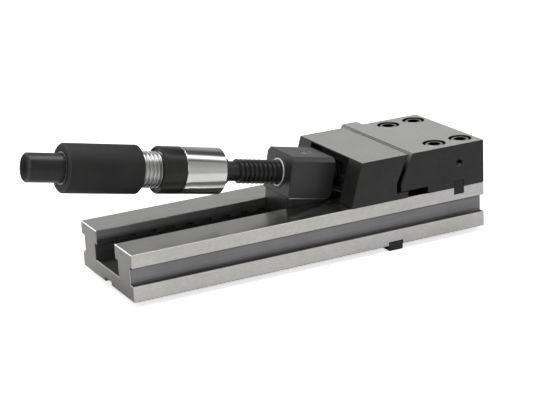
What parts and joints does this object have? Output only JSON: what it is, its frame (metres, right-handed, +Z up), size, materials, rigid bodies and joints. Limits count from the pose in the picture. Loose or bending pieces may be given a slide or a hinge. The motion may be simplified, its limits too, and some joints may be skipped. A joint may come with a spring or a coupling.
{
  "type": "hydraulic machine vise",
  "caption": "Machine vise with a ground slotted rail, bolted fixed jaw, movable jaw with a pull-down insert, and an inclined power spindle carried by a quick-setting nut.",
  "frame": {"origin": "middle of the rail's underside, where the vise stands on the machine table", "axes": "+X along the rail towards the fixed jaw, +Z up, -Y the side seen in the picture"},
  "size_m": [0.4606, 0.138, 0.149],
  "materials": {
    "ground_steel": "ground, satin",
    "black_oxide": "black oxide, matte",
    "polished_steel": "polished",
    "bright_steel": "turned, bright",
    "dark_steel": "dark, oiled",
    "bronze": "turned",
    "rubber": "matte"
  },
  "bodies": {
    "base": {"base_rail": "ground_steel", "fixed_jaw": "black_oxide", "fixed_jaw_screw_1": "black_oxide", "fixed_jaw_screw_2": "black_oxide", "fixed_jaw_screw_3": "black_oxide", "fixed_jaw_screw_4": "black_oxide", "fixed_jaw_key": "black_oxide", "table_key_near": "black_oxide", "table_key_far": "black_oxide", "table_key_screw_near": "black_oxide", "table_key_screw_far": "black_oxide"},
    "nut_carriage": {"nut_block": "black_oxide", "nut_bush": "dark_steel", "nut_ring": "bright_steel", "nut_lock_screw": "black_oxide"},
    "movable_jaw": {"movable_jaw": "black_oxide", "jaw_keeper": "dark_steel", "keeper_screw_near": "black_oxide", "keeper_screw_far": "black_oxide", "insert_screw_near": "black_oxide", "insert_screw_far": "black_oxide", "insert_spring_near": "bright_steel", "insert_spring_far": "bright_steel", "thrust_seat": "bright_steel", "thrust_retainer": "dark_steel", "retainer_screw_near": "black_oxide", "retainer_screw_far": "black_oxide"},
    "insert": {"pulldown_insert": "black_oxide"},
    "thrust_head": {"thrust_cup": "bright_steel", "thrust_washer": "bronze"},
    "spindle": {"spindle_screw": "dark_steel", "cylinder_body": "polished_steel", "cylinder_ring": "black_oxide", "threaded_tube": "bright_steel", "grip_sleeve": "black_oxide", "stub_ring": "bright_steel", "filler_screw": "black_oxide", "clutch_spring_1": "dark_steel", "clutch_spring_2": "dark_steel", "clutch_ball_1": "bright_steel", "clutch_ball_2": "bright_steel", "clutch_ball_3": "bright_steel", "clutch_ball_4": "bright_steel", "clutch_ball_5": "bright_steel", "clutch_ball_6": "bright_steel", "return_spring": "bright_steel"},
    "drive": {"drive_stub": "black_oxide", "power_screw": "dark_steel"},
    "plunger": {"plunger": "bright_steel", "plunger_seal": "rubber"},
    "piston": {"main_piston": "bright_steel", "piston_seal": "rubber", "thrust_rod": "bright_steel"}
  },
  "joints": [
    {"name": "quick_slide", "type": "slide", "parent": "base", "child": "nut_carriage", "axis": [1, 0, 0], "range_m": [-0.15, 0]},
    {"name": "jaw_feed", "type": "slide", "parent": "nut_carriage", "child": "movable_jaw", "axis": [1, 0, 0], "range_m": [-0.00639, 0]},
    {"name": "insert_slide", "type": "slide", "parent": "movable_jaw", "child": "insert", "axis": [1, 0, 0], "range_m": [-0.0035, 0], "stiffness_N_per_m": 4000, "springref_m": 0.002, "deforming": ["insert_spring_near", "insert_spring_far"]},
    {"name": "spindle_feed", "type": "slide", "parent": "nut_carriage", "child": "thrust_head", "axis": [0.9813, 0, -0.1925], "range_m": [-0.00625, 0]},
    {"name": "spindle_turn", "type": "hinge", "parent": "thrust_head", "child": "spindle", "pos_m": [-0.00735, 0, 0.0773], "axis": [0.9813, 0, -0.1925], "range_deg": [-450, 0]},
    {"name": "drive_turn", "type": "hinge", "parent": "spindle", "child": "drive", "pos_m": [-0.20361, 0, 0.1158], "axis": [0.9813, 0, -0.1925], "range_deg": [0, 1260]},
    {"name": "plunger_feed", "type": "slide", "parent": "spindle", "child": "plunger", "axis": [0.9813, 0, -0.1925], "range_m": [0, 0.00525]},
    {"name": "piston_stroke", "type": "slide", "parent": "spindle", "child": "piston", "axis": [0.9813, 0, -0.1925], "range_m": [0, 0.0015], "deforming": ["return_spring"]}
  ],
  "couplings": [
    {"joint": "jaw_feed", "follows": "spindle_feed", "ratio": 1.0191},
    {"joint": "spindle_turn", "follows": "spindle_feed", "rad_per_m": 1256.6},
    {"joint": "drive_turn", "follows": "plunger_feed", "rad_per_m": 4188.8},
    {"joint": "piston_stroke", "follows": "plunger_feed", "ratio": 0.28028}
  ]
}
